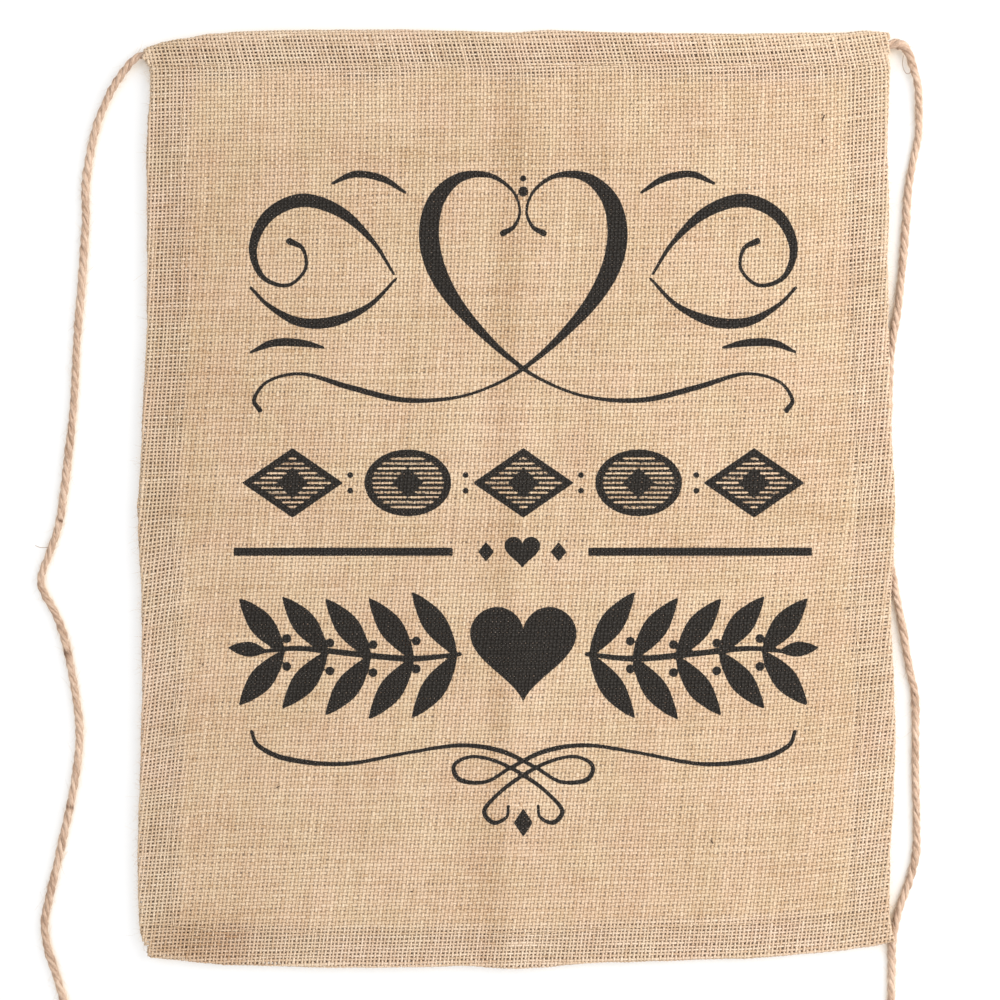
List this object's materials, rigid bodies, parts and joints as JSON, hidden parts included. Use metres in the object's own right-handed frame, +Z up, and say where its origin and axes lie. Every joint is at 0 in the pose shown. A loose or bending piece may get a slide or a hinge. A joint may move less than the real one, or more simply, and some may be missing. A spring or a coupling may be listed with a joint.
{
  "type": "hessian hanging banner",
  "caption": "Hemmed hessian cloth banner with a stitched top casing, a jute cord through it whose tails hang at each side, a printed ornament and one pressed fold.",
  "frame": {"origin": "centre of the flat back of the top casing, at the cord's height", "axes": "+Z up towards the casing, +X to the right of the printed face, +Y out of the back; the print faces -Y"},
  "size_m": [0.4768, 0.0083, 0.5612],
  "materials": {
    "printed_hessian": "natural plain-weave jute, matt, printed in matt black ink on the face",
    "hemmed_hessian": "natural plain-weave jute in two or three plies, matt",
    "jute_cord": "laid jute cord, matt and slightly hairy",
    "sewing_thread": "spun polyester, natural colour, slight sheen"
  },
  "bodies": {
    "upper_banner": {"upper_panel": "printed_hessian", "top_casing": "hemmed_hessian", "left_hem_upper": "hemmed_hessian", "right_hem_upper": "hemmed_hessian", "casing_seam_needle_thread": "sewing_thread", "casing_seam_bobbin_thread": "sewing_thread", "left_hem_needle_thread_upper": "sewing_thread", "left_hem_bobbin_thread_upper": "sewing_thread", "right_hem_needle_thread_upper": "sewing_thread", "right_hem_bobbin_thread_upper": "sewing_thread"},
    "lower_banner": {"lower_panel": "printed_hessian", "bottom_hem": "hemmed_hessian", "left_hem_lower": "hemmed_hessian", "right_hem_lower": "hemmed_hessian", "left_hem_needle_thread_lower": "sewing_thread", "left_hem_bobbin_thread_lower": "sewing_thread", "right_hem_needle_thread_lower": "sewing_thread", "right_hem_bobbin_thread_lower": "sewing_thread", "bottom_hem_needle_thread": "sewing_thread", "bottom_hem_bobbin_thread": "sewing_thread"},
    "cord": {"cord_in_casing": "jute_cord"},
    "left_tail_1_body": {"left_tail_1": "jute_cord"},
    "left_tail_2_body": {"left_tail_2": "jute_cord"},
    "left_tail_3_body": {"left_tail_3": "jute_cord"},
    "left_tail_4_body": {"left_tail_4": "jute_cord"},
    "left_tail_5_body": {"left_tail_5": "jute_cord"},
    "left_tail_6_body": {"left_tail_6": "jute_cord"},
    "right_tail_1_body": {"right_tail_1": "jute_cord"},
    "right_tail_2_body": {"right_tail_2": "jute_cord"},
    "right_tail_3_body": {"right_tail_3": "jute_cord"},
    "right_tail_4_body": {"right_tail_4": "jute_cord"},
    "right_tail_5_body": {"right_tail_5": "jute_cord"}
  },
  "joints": [
    {"name": "crease_fold", "type": "hinge", "parent": "upper_banner", "child": "lower_banner", "pos_m": [0, -0.0078, -0.2384], "axis": [-1, 0, 0], "range_deg": [0, 179], "stiffness_Nm_per_rad": 0.01},
    {"name": "cord_swing", "type": "hinge", "parent": "upper_banner", "child": "cord", "pos_m": [-0.0015, -0.0034, 0.0008], "axis": [0.9999, 0, 0.012], "range_deg": [0, 90]},
    {"name": "left_tail_lift", "type": "hinge", "parent": "cord", "child": "left_tail_1_body", "pos_m": [-0.20883, -0.00339, -0.00384], "axis": [0, 1, 0], "range_deg": [0, 165.8]},
    {"name": "left_tail_bend_2", "type": "hinge", "parent": "left_tail_1_body", "child": "left_tail_2_body", "pos_m": [-0.22531, -0.0017, -0.03723], "axis": [0, 1, 0], "range_deg": [0, 29.92]},
    {"name": "left_tail_bend_3", "type": "hinge", "parent": "left_tail_2_body", "child": "left_tail_3_body", "pos_m": [-0.2455, -0.0011, -0.24209], "axis": [0, 1, 0], "range_deg": [-11.74, 0]},
    {"name": "left_tail_bend_4", "type": "hinge", "parent": "left_tail_3_body", "child": "left_tail_4_body", "pos_m": [-0.2578, -0.0011, -0.28212], "axis": [0, 1, 0], "range_deg": [0, 35.75]},
    {"name": "left_tail_bend_5", "type": "hinge", "parent": "left_tail_4_body", "child": "left_tail_5_body", "pos_m": [-0.24027, -0.0011, -0.33487], "axis": [0, 1, 0], "range_deg": [-25.15, 0]},
    {"name": "left_tail_bend_6", "type": "hinge", "parent": "left_tail_5_body", "child": "left_tail_6_body", "pos_m": [-0.25545, -0.0011, -0.46882], "axis": [0, 1, 0], "range_deg": [0, 18]},
    {"name": "right_tail_lift", "type": "hinge", "parent": "cord", "child": "right_tail_1_body", "pos_m": [0.20785, -0.00336, 0.00144], "axis": [0, -1, 0], "range_deg": [0, 176.8]},
    {"name": "right_tail_bend_2", "type": "hinge", "parent": "right_tail_1_body", "child": "right_tail_2_body", "pos_m": [0.21502, -0.00236, -0.02063], "axis": [0, -1, 0], "range_deg": [0, 29.54]},
    {"name": "right_tail_bend_3", "type": "hinge", "parent": "right_tail_2_body", "child": "right_tail_3_body", "pos_m": [0.19853, -0.0011, -0.20777], "axis": [0, -1, 0], "range_deg": [-9.23, 0]},
    {"name": "right_tail_bend_4", "type": "hinge", "parent": "right_tail_3_body", "child": "right_tail_4_body", "pos_m": [0.21352, -0.0011, -0.42757], "axis": [0, -1, 0], "range_deg": [0, 20.81]},
    {"name": "right_tail_bend_5", "type": "hinge", "parent": "right_tail_4_body", "child": "right_tail_5_body", "pos_m": [0.20241, -0.0011, -0.46482], "axis": [0, -1, 0], "range_deg": [-15.09, 0]}
  ],
  "couplings": [
    {"joint": "left_tail_bend_2", "follows": "left_tail_lift", "ratio": 0.17864},
    {"joint": "left_tail_bend_3", "follows": "left_tail_lift", "ratio": -0.06902},
    {"joint": "left_tail_bend_4", "follows": "left_tail_lift", "ratio": 0.21382},
    {"joint": "left_tail_bend_5", "follows": "left_tail_lift", "ratio": -0.14985},
    {"joint": "left_tail_bend_6", "follows": "left_tail_lift", "ratio": 0.10674},
    {"joint": "right_tail_bend_2", "follows": "right_tail_lift", "ratio": 0.16538},
    {"joint": "right_tail_bend_3", "follows": "right_tail_lift", "ratio": -0.05053},
    {"joint": "right_tail_bend_4", "follows": "right_tail_lift", "ratio": 0.11598},
    {"joint": "right_tail_bend_5", "follows": "right_tail_lift", "ratio": -0.08364}
  ]
}
